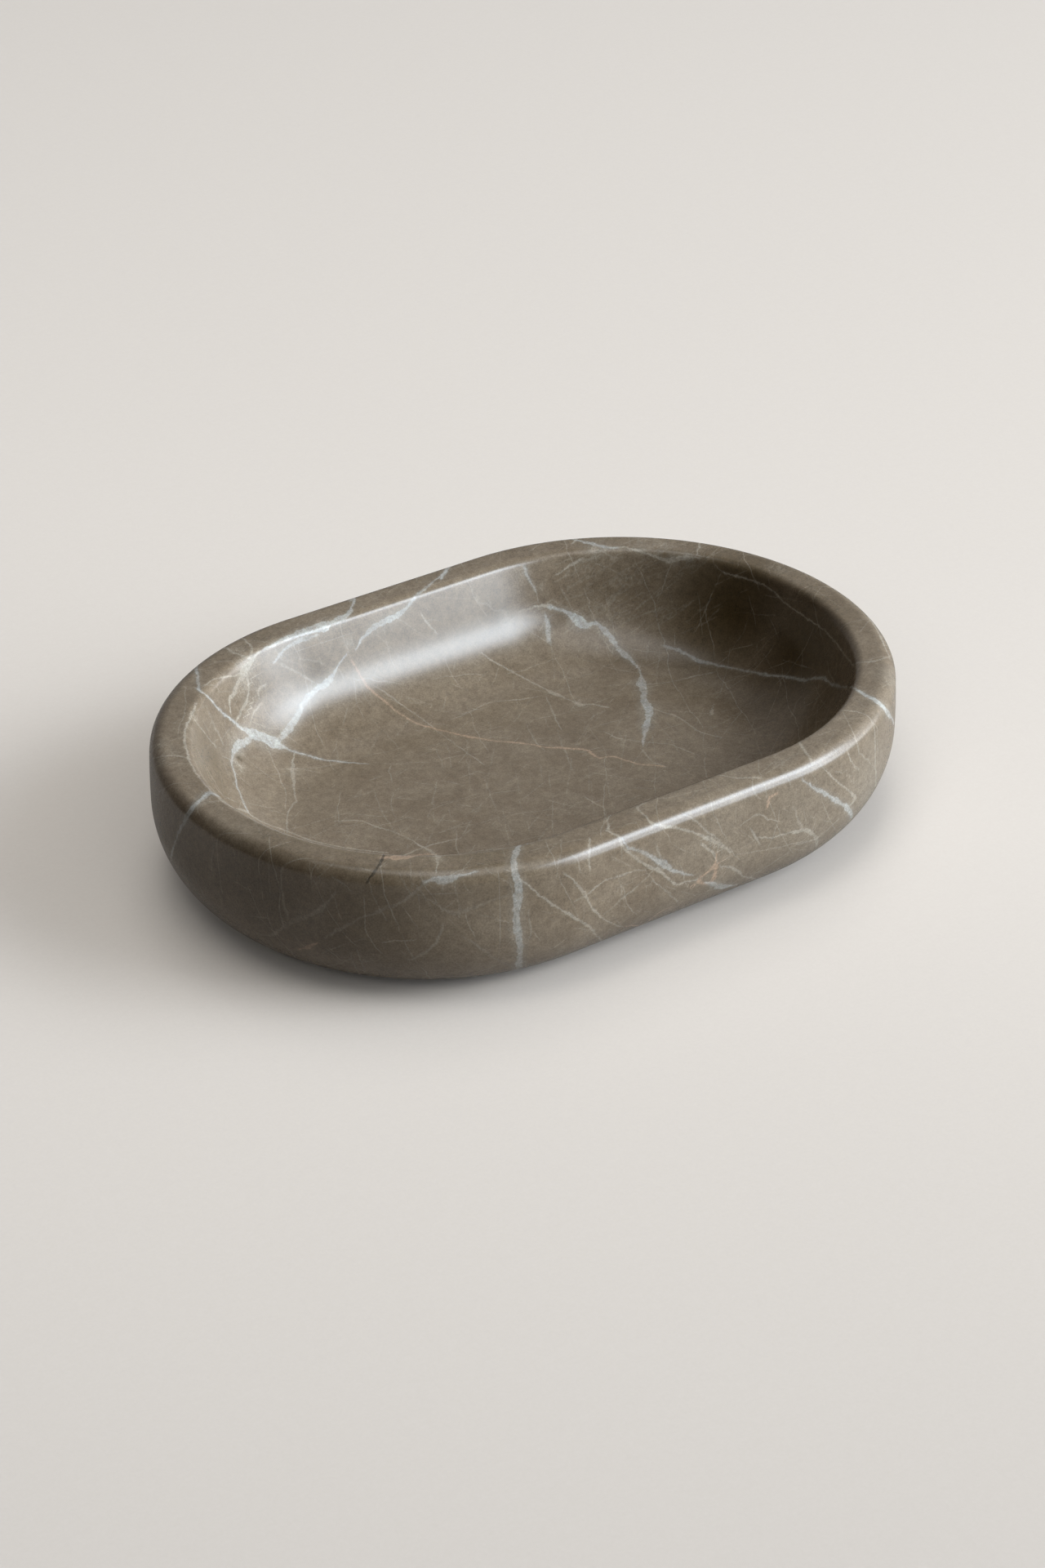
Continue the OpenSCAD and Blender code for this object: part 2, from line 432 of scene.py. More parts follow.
    "branchThin": [(795, 838, 1.5), (820, 835, 1.5), (850, 828, 1.5), (870, 824, 1.5)],
    "rimBranch": [(720, 978, 1.5), (731, 985, 2), (740, 990, 2), (742, 998, 2), (745, 1013, 2)],
    "wallUp": [(790, 1065, 1.5), (777, 1066, 2), (757, 1074, 2), (743, 1077, 2), (734, 1083, 2), (718, 1096, 3),
        (708, 1101, 1.5)],
    "wallDown": [(797, 1069, 1.5), (790, 1077, 2), (777, 1089, 2.5), (765, 1098, 2), (753, 1109, 2.5),
        (744, 1116, 2)],
    "leftRimLine": [(190, 928, 2), (200, 926, 3), (215, 925, 2), (229, 928, 1.5)],
    "lowRight": [(905, 1046, 1.5), (935, 1041, 1.5), (960, 1036, 1.5), (985, 1030, 1.5)],
    "ridgeLine": [(348, 815, 3), (363, 823, 3), (380, 833, 2)],
    "shoulderTail": [(1024, 1006, 1.5), (1018, 1012, 2), (1009, 1020, 1.5)],
    "wallThin": [(910, 1008, 1.5), (930, 996, 2), (940, 1002, 2), (955, 1006, 1.5)],
    "lowThin": [(802, 1080, 1.5), (818, 1092, 2), (829, 1103, 1.5)],
    "lipShort": [(541, 1047, 2), (560, 1046, 2), (585, 1042, 1.5), (612, 1039, 1.5)],
    "scratchOne": [(240, 883, 2), (250, 897, 2), (262, 912, 1.5)],
    "scratchTwo": [(254, 942, 2), (263, 957, 2), (271, 971, 1.5)],
    "floorUpright": [(670, 856, 1.5), (676, 868, 2), (680, 880, 2.5), (686, 891, 1.5)],
}, "netA": {
    "trunk": [(315, 801, 3), (307, 811, 5), (301, 819, 9), (296, 829, 7), (291, 838, 5), (286, 850, 5),
        (281, 857, 3.5), (282, 868, 2)],
    "curl": [(323, 840, 2), (317, 844, 3), (317, 851, 2)],
}, "netB": {
    "trunk": [(302, 821, 4), (303, 832, 3), (305, 842, 3), (304, 852, 3), (302, 861, 5), (296, 869, 4), (293, 877, 3),
        (289, 883, 2)],
    "rimArc": [(296, 824, 2), (287, 828, 2), (275, 829, 2), (262, 832, 1.5), (252, 838, 1.5)],
    "arc": [(317, 865, 2), (311, 872, 2.5), (308, 882, 1.5)],
    "top": [(298, 782, 2), (308, 792, 3), (306, 803, 3)],
}, "crack": {
    "rimCrack": [(472, 1044, 2), (468, 1053, 3), (461, 1064, 3), (452, 1077, 2)],
}}

# The far side's veins, in pixels of a picture taken from straight behind. They are guessed, and most
# go on from visible ones over the rim.
farVeins = {"veinG": {
    "streakOn": [(887, 966, 3), (880, 985, 6), (872, 1005, 8), (860, 1030, 8), (852, 1052, 6), (838, 1075, 4),
        (830, 1095, 2)],
    "uprightIn": [(653, 690, 4), (656, 704, 5), (664, 722, 5), (668, 742, 4), (680, 760, 3), (690, 778, 2)],
}, "veinA": {
    "yOn": [(767, 999, 3), (758, 1020, 5), (745, 1040, 7), (735, 1062, 9), (722, 1085, 8), (712, 1110, 6),
        (700, 1135, 3), (690, 1160, 2)],
}, "veinB": {
    "forkOn": [(1053, 846, 3), (1062, 866, 4), (1070, 892, 5), (1068, 920, 4), (1058, 948, 3), (1040, 975, 2)],
}, "veinC": {
    "whiteOn": [(583, 1055, 3), (570, 1075, 4), (552, 1092, 3), (540, 1115, 3), (520, 1135, 2)],
    "loopOn": [(411, 1030, 3), (404, 1050, 3), (398, 1072, 4), (390, 1095, 3), (375, 1118, 3), (368, 1135, 2)],
    "cornerOn": [(191, 893, 2), (194, 925, 2.5), (202, 960, 2), (216, 995, 2), (236, 1030, 2)],
    "zigzagIn": [(562, 703, 2), (556, 720, 2.5), (560, 740, 3), (548, 762, 2.5), (540, 790, 2), (520, 815, 2)],
    "stubIn": [(313, 757, 2), (330, 775, 3), (338, 800, 2.5), (360, 820, 2)],
}, "veinD": {
    "netOn": [(1038, 901, 2), (1036, 922, 3), (1024, 945, 2.5), (1005, 962, 2), (975, 985, 2)],
    "between": [(852, 1030, 2), (830, 1040, 2.5), (800, 1046, 2), (770, 1056, 3), (748, 1060, 2)],
    "loopIn": [(523, 721, 2), (512, 740, 2.5), (498, 752, 2), (480, 775, 2), (455, 790, 1.5)],
    "across": [(880, 830, 1.5), (850, 842, 2), (810, 850, 2.5), (770, 866, 2), (735, 875, 1.5)],
}, "veinE": {
    "salmonOn": [(945, 965, 2), (935, 990, 3), (925, 1012, 4), (908, 1030, 3), (900, 1045, 2)],
}, "veinF": {
    "leftOn": [(1079, 768, 2), (1088, 790, 2.5), (1093, 820, 2), (1094, 850, 2)],
    "slant": [(640, 1045, 2), (610, 1075, 2), (590, 1110, 2.5), (575, 1150, 2)],
    "slantTwo": [(345, 1085, 2), (310, 1078, 2), (280, 1055, 2), (262, 1040, 1.5)],
    "dashIn": [(425, 752, 2), (418, 775, 2), (400, 800, 1.5)],
    "nodeIn": [(771, 684, 2), (790, 702, 2.5), (796, 722, 2), (815, 745, 1.5)],
}, "veinH": {
    "ochreOn": [(470, 1050, 2), (455, 1080, 3), (430, 1105, 3), (410, 1135, 2)],
}}
veinReach = {
    "pixel": 0.16 * mm,        # one pixel of the photograph at the stone
    "near": 2.2 * mm,          # past this distance a route has no effect
    "fade": 1.2 * mm,          # length over which its ends fade
    "sample": 4,               # pixels between the points of a smoothed route
    "full": 0.4,               # share of the way to "near" that keeps its full strength
    "still": 0.0001 * mm,      # shorter steps than this are left out
    "jump": 4 * mm,            # and longer ones, which jump behind the rim
}

# Short fine lines strewn over the stone: how many on each layer, the part of the photograph they
# start in (left, top, right, bottom), lengths in pixels, the way they run and how far it varies.
# The hairs lie on the far side too.
strewn = {
    "hairA": {"count": 70, "area": (190, 660, 1090, 1190), "length": (15, 60), "run": 20, "spread": 60, "seed": 11},
    "hairB": {"count": 70, "area": (190, 660, 1090, 1190), "length": (15, 60), "run": 110, "spread": 70, "seed": 12},
    "hairC": {"count": 60, "area": (260, 820, 860, 1060), "length": (12, 40), "run": 60, "spread": 90, "seed": 13},
    "fan": {"count": 46, "area": (655, 670, 850, 775), "length": (20, 75), "run": -33, "spread": 14, "seed": 14},
}
strewnReach = {"near": 0.9 * mm, "width": (1.0, 1.6), "bend": 9, "steps": 4}   # bend in degrees

# Soft patches of colour: x, y, radius (pixels) and strength. Some tan ones are painted light on lit walls and some
# dark ones painted shade on shaded walls
patches = {
    "pale": [(300, 815, 13, 1.0), (292, 797, 12, 0.7), (301, 838, 11, 0.6), (306, 865, 14, 0.5), (318, 845, 14, 0.3),
        (330, 790, 24, 0.4), (790, 668, 10, 0.8), (810, 667, 10, 0.8), (826, 685, 8, 1.0), (842, 682, 9, 0.8),
        (726, 673, 10, 0.8), (740, 668, 16, 0.4), (238, 878, 6, 0.9), (205, 925, 18, 0.5), (195, 912, 10, 0.7),
        (197, 935, 8, 0.6), (427, 787, 9, 0.8), (292, 937, 9, 1.0), (285, 903, 9, 0.7), (855, 1078, 7, 0.8),
        (875, 1083, 7, 0.7), (955, 696, 14, 0.5), (641, 698, 9, 0.8), (671, 772, 8, 0.7), (619, 756, 10, 0.5),
        (358, 944, 7, 0.7), (710, 862, 9, 0.6), (1002, 1027, 10, 0.5), (958, 936, 9, 0.6), (536, 1050, 7, 0.7),
        (466, 1060, 6, 0.5), (660, 720, 9, 0.4)],
    # tan: lighter stone, and painted light on the lit right end, the front right wall and the inner left wall
    "tan": [(300, 1020, 60, 0.35), (230, 895, 22, 0.3), (258, 890, 26, 0.15), (1075, 900, 60, 0.4),
        (1065, 960, 70, 0.9), (1092, 830, 26, 0.9), (1000, 1000, 90, 0.5), (900, 1030, 100, 0.35), (292, 921, 8, 0.9),
        (868, 1073, 6, 0.8), (493, 1050, 16, 0.5), (378, 1125, 22, 0.4), (325, 1091, 12, 0.4), (784, 672, 9, 0.6)],
    # dark: darker stone spots, and painted shade on the shaded inner right wall and the front left wall
    "dark": [(258, 925, 36, 0.55), (900, 740, 90, 1.3), (980, 800, 80, 1.3), (1000, 860, 60, 0.7),
        (330, 1100, 90, 0.65), (450, 1130, 100, 0.6), (235, 1080, 60, 0.6), (600, 1046, 60, 0.5), (388, 818, 14, 0.6),
        (610, 750, 22, 0.5), (293, 929, 4, 1.6), (814, 678, 5, 0.8), (318, 782, 10, 0.5), (750, 700, 50, 0.3)],
}


def smoothRoute(points, sample):
    # A smooth curve through the points
    spots = np.array(points, float)
    padded = np.vstack([2 * spots[0] - spots[1], spots, 2 * spots[-1] - spots[-2]])
    result = []
    for i in range(1, len(padded) - 2):
        a, b, c, d = padded[i - 1:i + 3]
        count = max(1, int(np.hypot(*(c - b)[:2]) / sample))
        for k in range(count):
            t = k / count
            result.append(0.5 * (2 * b + (c - a) * t + (2 * a - 5 * b + 4 * c - d) * t * t
                                 + (3 * b - a - 3 * c + d) * t ** 3))
    result.append(spots[-1])
    return np.array(result)


def dropOnStone(tree, matrix, x, y):
    wide, tall = photoView["size"]
    ahead = Vector(((x - wide / 2) / photoView["focal"], (tall / 2 - y) / photoView["focal"], -1))
    hit, normal, _, _ = tree.ray_cast(matrix.translation, (matrix.to_3x3() @ ahead).normalized())
    return (np.array(hit), np.array(normal)) if hit else None


def routeOnStone(tree, matrix, points):
    places, normals, widths = [], [], []
    for x, y, width in smoothRoute(points, veinReach["sample"]):
        found = dropOnStone(tree, matrix, x, y)
        if found:
            places.append(found[0])
            normals.append(found[1])
            widths.append(width * veinReach["pixel"] / 2)
    return np.array(places), np.array(normals), np.array(widths)


def layRoute(corners, best, line, tree, matrix, points, reach):
    places, normals, widths = routeOnStone(tree, matrix, points)
    if len(places) < 3:
        return
    near = reach + widths.max()
    inside = np.all((corners > places.min(0) - near) & (corners < places.max(0) + near), axis=1)
    rows = np.nonzero(inside)[0]
    spots = corners[rows]
    last = len(places) - 2
    for k in range(last + 1):
        start, run = places[k], places[k + 1] - places[k]
        length = np.linalg.norm(run)
        if not veinReach["still"] <= length <= veinReach["jump"]:
            continue
        along = (spots - start) @ run / length ** 2
        held = np.clip(along, 0, 1)
        away = spots - start - held[:, None] * run
        across = np.cross(normals[k], run / length)
        side = away @ across
        gap = np.linalg.norm(away, axis=1)
        past = np.where((k == 0) & (along < 0), -along, np.where((k == last) & (along > 1), along - 1, 0)) * length
        signed = np.where(past > 0, side, np.copysign(gap, side))
        width = widths[k] + held * (widths[k + 1] - widths[k])
        strength = np.clip(1 - past / veinReach["fade"], 0, 1) * np.clip(1 + veinReach["full"] - gap / near, 0, 1)
        closer = gap < best[rows]
        chosen = rows[closer]
        best[chosen] = gap[closer]
        line[chosen, 0] = signed[closer] / mm
        line[chosen, 1] = width[closer] / mm
        line[chosen, 2] = strength[closer]


def strewnRoutes(values):
    dice = np.random.RandomState(values["seed"])
    left, top, right, bottom = values["area"]
    routes = []
    for i in range(values["count"]):
        x, y = dice.uniform(left, right), dice.uniform(top, bottom)
        way = values["run"] + dice.uniform(-1, 1) * values["spread"]
        stride = dice.uniform(*values["length"]) / strewnReach["steps"]
        width = dice.uniform(*strewnReach["width"])
        points = [(x, y, width)]
        for k in range(strewnReach["steps"]):
            way += dice.uniform(-1, 1) * strewnReach["bend"]
            x, y = polar((x, y), stride, way)
            points.append((x, y, width))
        routes.append(points)
    return routes


def keepOn(mesh, name, rows):
    attribute = mesh.attributes.new(name, "FLOAT_VECTOR", "POINT")
    attribute.data.foreach_set("vector", rows.ravel())


def markLayer(mesh, corners, tree, layer, routes, farRoutes, reach):
    best = np.full(len(corners), np.inf)
    line = np.zeros((len(corners), 3))     # mm to the side, half width in mm, strength
    line[:, 0] = 9             # far from any vein
    for matrix, group in ((viewMatrix, routes), (farMatrix, farRoutes)):
        for points in group:
            layRoute(corners, best, line, tree, matrix, points, reach)
    keepOn(mesh, layer, line)


def markPatches(mesh, corners, tree):
    tint = np.zeros((len(corners), 3))
    for column, spots in enumerate(patches.values()):
        for x, y, radius, strength in spots:
            found = dropOnStone(tree, viewMatrix, x, y)
            if found:
                gap = np.linalg.norm(corners - found[0], axis=1) / (radius * veinReach["pixel"])
                tint[:, column] = np.maximum(tint[:, column], strength * np.exp(-gap ** 2))
    keepOn(mesh, "patches", tint)


def markStone(stone):
    mesh = stone.data
    corners = np.empty(len(mesh.vertices) * 3)
    mesh.vertices.foreach_get("co", corners)
    corners = corners.reshape(-1, 3)
    tree = BVHTree.FromObject(stone, bpy.context.evaluated_depsgraph_get())
    for layer, routes in veinLayers.items():
        farRoutes = farVeins.get(layer, {}).values()
        markLayer(mesh, corners, tree, layer, routes.values(), farRoutes, veinReach["near"])
    for layer, values in strewn.items():
        routes = strewnRoutes(values)
        farRoutes = routes if layer.startswith("hair") else []
        markLayer(mesh, corners, tree, layer, routes, farRoutes, strewnReach["near"])
    markPatches(mesh, corners, tree)
    print("veins laid on", len(mesh.attributes), "attributes")


markStone(stone)


# The marble

marbleLook = {
    "dark": (0.157, 0.117, 0.077, 1),
    "middle": (0.202, 0.156, 0.106, 1),
    "light": (0.25, 0.198, 0.14, 1),
    "tan": (0.27, 0.232, 0.18, 1),
    "white": (0.47, 0.475, 0.445, 1),
    "cream": (0.40, 0.36, 0.29, 1),
    "salmon": (0.40, 0.28, 0.19, 1),
    # umber: darker stone, and the painted shade of the dark patches
    "umberAndShade": (0.052, 0.031, 0.006, 1),
    "soot": (0.02, 0.017, 0.014, 1),
    # spots in a metre, detail, roughness and distortion of the clouds, the mottling and the torn veils
    "cloud": (38, 5.0, 0.6, 0.6),
    "mottle": (140, 4.0, 0.6, 0.3),
    "torn": (560, 5.0, 0.8, 1.6),
    # the part of each noise that is used, from bare to full
    "cloudSpan": (0.3, 0.7),
    "mottleSpan": (0.36, 0.76),
    "tornSpan": (0.45, 0.62),
    "veil": (0.15, 0.75),      # a pale patch between its shreds, and how much paler these are
    # the most that each of these covers
    "mottleCover": 0.75,
    # the tan and dark patches are partly painted light and painted shade
    "tanAndLightCover": 0.55,
    "darkAndShadeCover": 0.68,
    "paleCover": 0.75,
    "speckle": 0.28,           # how far the grain lightens and darkens the colour
    "roughness": (0.22, 0.27),
    "ior": 1.55,
    "bump": 0.006 * mm,
    "bumpStrength": 0.35,
    # fine sheets all through: turn (degrees), sheets in a metre, width (mm), cover and how pale
    "sheets": [((0, 20, 25), 100, 0.18, 0.64, 0.32), ((0, -25, 100), 120, 0.16, 0.60, 0.29),
               ((15, 10, -40), 150, 0.16, 0.55, 0.28), ((30, 5, 65), 190, 0.14, 0.55, 0.26)],
    # for each layer: its colour, how much it covers, its soft edge in mm, how broken it is, its glow
    "veins": {
        "hairA": ("cream", 0.26, 0.09, 0.9, 0.0),
        "hairB": ("cream", 0.22, 0.09, 0.9, 0.0),
        "hairC": ("cream", 0.24, 0.08, 0.9, 0.0),
        "fan": ("cream", 0.26, 0.15, 0.7, 0.1),
        "veinF": ("cream", 0.50, 0.11, 0.7, 0.03),
        "veinD": ("cream", 0.64, 0.12, 0.5, 0.08),
        "veinH": ("tan", 0.55, 0.20, 0.6, 0.15),
        "veinE": ("salmon", 0.92, 0.18, 0.3, 0.15),
        "netB": ("cream", 0.80, 0.15, 0.5, 0.15),
        "veinC": ("cream", 0.74, 0.15, 0.45, 0.12),
        "veinG": ("white", 0.60, 0.22, 0.4, 0.2),
        "netA": ("cream", 0.90, 0.18, 0.45, 0.2),
        "veinB": ("white", 0.76, 0.20, 0.4, 0.2),
        "veinA": ("white", 0.84, 0.20, 0.35, 0.2),
        "crack": ("soot", 0.8, 0.10, 0.2, 0.0),
    },
}
# How the laid veins, the sheets and the grain are drawn
veinShape = {
    # spots in a metre, detail and roughness of each noise
    "Stray": (520, 4.0, 0.75),
    "Swell": (330, 2.0, 0.6),
    "Thin": (210, 3.0, 0.65),
    "Inside": (1500, 2.0, 0.6),
    "strayBy": 1.3,            # mm, from side to side
    "swellSpan": (0.3, 0.7),   # the part of the noise that is used
    "swellBy": (0.65, 1.6),    # share of the width
    "thinSpan": (0.34, 0.62),  # noise below the first is a break, above the second whole
    "insideSpan": (0.3, 0.6),
    "insideLow": 0.6,          # the faintest place inside a vein
    "glowReach": 4.0,          # times the half width
    "whole": 0.6,              # a route's end is whole from this strength on
}
wanderNames = ("Stray", "Swell", "Thin", "Inside")
sheetShape = {
    "drift": (24, 2.0, 0.5),   # slow and small bends, and how many sheets' gaps they reach
    "driftBy": 1.5,
    "wobble": (260, 2.0, 0.6),
    "wobbleBy": 0.13,
    "where": (3.0, 0.6),       # detail and roughness of the places that show a line
    "edge": 0.16,              # how softly a line starts and stops
    "bare": 0.75,              # noise needed to show a line at no cover
    "full": 0.25,              # and at full cover
}
grainShape = {"fine": (2.0, 0.6), "coarse": (3.0, 0.6), "fineShare": 0.6, "span": (0.35, 0.65)}


def makeWanderGroup():
    # What all laid veins share: how they stray sideways, swell, thin out and are veined inside
    tree, given, out = newGroup("veinWander", {"Place": None}, wanderNames)
    stray, swell, thin, inside = (noise(tree, given["Place"], *veinShape[name]) for name in wanderNames)
    tree.links.new(calc(tree, "SUBTRACT", stray, 0.5), out["Stray"])
    tree.links.new(remap(tree, swell, *veinShape["swellSpan"], *veinShape["swellBy"]), out["Swell"])
    tree.links.new(remap(tree, thin, *veinShape["thinSpan"]), out["Thin"])
    tree.links.new(remap(tree, inside, *veinShape["insideSpan"], veinShape["insideLow"], 1.0), out["Inside"])
    return tree


def makeVeinGroup():
    # One layer of laid veins, from the sideways distance, half width (mm) and strength in its attribute
    inputs = {"Route": None, "Stray": 0.0, "Swell": 1.0, "Thin": 1.0, "Inside": 1.0, "Feather": 0.2,
              "Breaks": 0.5, "Glow": 0.1}
    tree, given, out = newGroup("veinLine", inputs, ["Mask"])
    side, halfWidth, routeStrength = split(tree, given["Route"])
    stray = times(tree, given["Stray"], veinShape["strayBy"])
    gap = calc(tree, "ABSOLUTE", plus(tree, side, stray))
    half = times(tree, halfWidth, given["Swell"])
    core = remap(tree, calc(tree, "SUBTRACT", half, gap), times(tree, given["Feather"], -1.0),
                 given["Feather"], smooth=True)
    reach = times(tree, halfWidth, veinShape["glowReach"])
    glow = remap(tree, gap, reach, 0.0, 0.0, given["Glow"], smooth=True)
    line = calc(tree, "MAXIMUM", times(tree, core, given["Inside"]), glow)
    whole = calc(tree, "SUBTRACT", 1.0, given["Breaks"])
    shown = plus(tree, whole, times(tree, given["Thin"], given["Breaks"]))
    strength = times(tree, shown, remap(tree, routeStrength, 0.0, veinShape["whole"]))
    tree.links.new(times(tree, line, strength), out["Mask"])
    return tree


def makeSheetGroup():
    # Hairlines where thin sheets, unevenly spaced and gently bent, cut the surface here and there
    inputs = {"Place": None, "Turn": None, "Sheets": 100.0, "Width": 0.0002, "Cover": 0.5}
    tree, given, out = newGroup("sheetVeins", inputs, ["Mask"])
    turned = addNode(tree, "ShaderNodeVectorRotate", {"Vector": given["Place"], "Rotation": given["Turn"]},
                     rotation_type="EULER_XYZ").outputs[0]
    across = times(tree, split(tree, turned)[0], given["Sheets"])
    drift = times(tree, noise(tree, turned, *sheetShape["drift"]), sheetShape["driftBy"])
    wobble = times(tree, noise(tree, turned, *sheetShape["wobble"]), sheetShape["wobbleBy"])
    sheet = calc(tree, "FRACT", plus(tree, across, plus(tree, drift, wobble)))
    gap = calc(tree, "DIVIDE", calc(tree, "ABSOLUTE", calc(tree, "SUBTRACT", sheet, 0.5)), given["Sheets"])
    line = remap(tree, gap, given["Width"], 0.0, smooth=True)
    where = noise(tree, turned, given["Sheets"], *sheetShape["where"])
    spare = times(tree, given["Cover"], sheetShape["bare"] - sheetShape["full"])
    low = calc(tree, "SUBTRACT", sheetShape["bare"], spare)
    shown = remap(tree, where, low, plus(tree, low, sheetShape["edge"]), smooth=True)
    tree.links.new(times(tree, line, shown), out["Mask"])
    return tree


def makeGrainGroup():
    # Fine crystal grain, as a value round a half
    tree, given, out = newGroup("fineGrain", {"Place": None, "Scale": 3400.0, "Coarse": 800.0}, ["Value"])
    fine = noise(tree, given["Place"], given["Scale"], *grainShape["fine"])
    coarse = noise(tree, given["Place"], given["Coarse"], *grainShape["coarse"])
    share = grainShape["fineShare"]
    tree.links.new(plus(tree, times(tree, fine, share), times(tree, coarse, 1 - share)), out["Value"])
    return tree


def overGrain(tree, grain, low, high):
    return remap(tree, grain, *grainShape["span"], low, high)     # nearly all of it lies in this span


wanderGroup = makeWanderGroup()
veinGroup = makeVeinGroup()
sheetGroup = makeSheetGroup()
grainGroup = makeGrainGroup()


def stoneBase(tree, place, look):
    # Slow clouds, mottling and the patches of other colour; the tan patches are partly painted light and the dark
    # ones partly painted shade
    pale, tan, dark = split(tree, attributeOf(tree, "patches"))
    cloud, mottle, torn = (noise(tree, place, *look[name]) for name in ("cloud", "mottle", "torn"))
    colour = mixColour(tree, remap(tree, cloud, *look["cloudSpan"]), look["dark"], look["middle"])
    mottled = remap(tree, mottle, *look["mottleSpan"], 0.0, look["mottleCover"])
    colour = mixColour(tree, mottled, colour, look["light"])
    # tan and dark patches: stone tone, and partly painted light and painted shade on the walls
    colour = mixColour(tree, times(tree, tan, look["tanAndLightCover"]), colour, look["tan"])
    colour = mixColour(tree, times(tree, dark, look["darkAndShadeCover"]), colour, look["umberAndShade"])
    shreds = plus(tree, look["veil"][0], times(tree, remap(tree, torn, *look["tornSpan"]), look["veil"][1]))
    veil = times(tree, times(tree, pale, shreds), look["paleCover"])
    return mixColour(tree, veil, colour, look["cream"])


def addBump(tree, shader, value, look):
    height = times(tree, value, look["bump"])
    bump = addNode(tree, "ShaderNodeBump", {"Height": height, "Strength": look["bumpStrength"], "Distance": 1.0})
    tree.links.new(bump.outputs["Normal"], shader.inputs["Normal"])


def addHairlines(tree, place, colour, look):
    for turn, sheets, width, cover, pale in look["sheets"]:
        inputs = {"Place": place, "Turn": [math.radians(a) for a in turn], "Sheets": sheets, "Width": width * mm,
                  "Cover": cover}
        line = placeGroup(tree, sheetGroup, inputs)[0]
        colour = mixColour(tree, times(tree, line, pale), colour, look["cream"])
    return colour


def makeMarble(look):
    material, tree, shader = newMaterial("brownMarble")
    place = objectPlace(tree)
    grain = placeGroup(tree, grainGroup, {"Place": place})[0]
    wander = placeGroup(tree, wanderGroup, {"Place": place})
    colour = addHairlines(tree, place, stoneBase(tree, place, look), look)
    for layer, (tone, cover, feather, breaks, glow) in look["veins"].items():
        inputs = {"Route": attributeOf(tree, layer), "Feather": feather, "Breaks": breaks, "Glow": glow}
        inputs.update((name, wander[name]) for name in wanderNames)
        mask = placeGroup(tree, veinGroup, inputs)[0]
        colour = mixColour(tree, times(tree, mask, cover), colour, look[tone])
    speckle = overGrain(tree, grain, 1 - look["speckle"], 1 + look["speckle"])
    tree.links.new(scaled(tree, colour, speckle), shader.inputs["Base Color"])
    tree.links.new(overGrain(tree, grain, *look["roughness"]), shader.inputs["Roughness"])
    shader.inputs["IOR"].default_value = look["ior"]
    addBump(tree, shader, grain, look)
    return material


stone.data.materials.clear()
stone.data.materials.append(makeMarble(marbleLook))
print("marble done")


# The foam pads under the dish

foamLook = {
    "dark": (0.018, 0.018, 0.017, 1),
    "light": (0.045, 0.044, 0.041, 1),
    "roughness": 0.9,
    "cells": 2600.0,           # in a metre
    "cellSpan": (0.0, 0.7),
    "grainLow": 0.6,
    "grain": {"Scale": 4000.0, "Coarse": 900.0},
    "bump": 0.05 * mm,
    "bumpStrength": 0.6,
}


def makeFoam(look):
    material, tree, shader = newMaterial("darkFoam")
    place = objectPlace(tree)
    cells = addNode(tree, "ShaderNodeTexVoronoi", {"Vector": place, "Scale": look["cells"]}).outputs["Distance"]
    grain = placeGroup(tree, grainGroup, {"Place": place, **look["grain"]})[0]
    tone = times(tree, remap(tree, cells, *look["cellSpan"]), overGrain(tree, grain, look["grainLow"], 1.0))
    tree.links.new(mixColour(tree, tone, look["dark"], look["light"]), shader.inputs["Base Color"])
    shader.inputs["Roughness"].default_value = look["roughness"]
    addBump(tree, shader, cells, look)
    return material


foam = makeFoam(foamLook)
for name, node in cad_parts.items():
    if name.startswith("pad_"):
        node.data.materials.clear()
        node.data.materials.append(foam)
print("pads done")


# Floor, backdrop and lights

stageLook = {
    "half": 4.0,               # half the floor's width
    "behind": 1.6,             # from the dish to the backdrop
    "tall": 2.5,
    "curve": 0.6,              # radius of the turn between them
    "curveSteps": 16,
    "slack": 0.01,             # how close to its place an edge is found
    "colour": (0.324, 0.305, 0.286),
    "shade": (0.25, 0.78),     # tone falls to this share at this distance towards the camera
    "bounced": 0.42,           # share of that colour in the light that the floor throws back
    "mirrored": 0.12,          # how much of it the polished stone shows
    "roughness": 0.85,
    "specular": 0.15,
    "grain": {"Scale": 1500.0, "Coarse": 500.0},
    "speckle": 0.015,
}
lamps = {
    # azimuth from +X and elevation in degrees, width and height in metres, brightness;
    # rows and columns: share of the brightness at heights up the lamp and at places across it
    "window": {"azimuth": -47, "elevation": 23, "size": (3.3, 2.5), "radiance": 17.2,
               "colour": (0.885, 0.975, 1.075),
               "rows": [(0.0, 0.65), (0.25, 0.5), (0.48, 0.5), (0.62, 1.0), (0.82, 0.85), (1.0, 0.45)],
               "columns": [(0.0, 0.0), (0.4, 0.85), (0.55, 1.0), (0.8, 0.55), (1.0, 0.0)]},
    "sideWall": {"azimuth": -3, "elevation": 24, "size": (2.6, 2.6), "radiance": 5.5,
                 "colour": (1.0, 0.985, 0.965),
                 "rows": [(0.0, 1.0), (0.3, 0.75), (0.45, 0.15), (0.7, 0.15), (0.85, 0.5), (1.0, 0.5)],
                 "columns": [(0.0, 1.0), (0.5, 0.8), (1.0, 0.4)]},
    "overhead": {"azimuth": -85, "elevation": 82, "size": (1.6, 3.6), "radiance": 2.1,
                 "colour": (1.0, 0.985, 0.96),
                 "rows": [(0.0, 0.8), (0.5, 1.0), (1.0, 0.4)], "columns": [(0.0, 0.7), (0.5, 1.0), (1.0, 0.7)]},
}
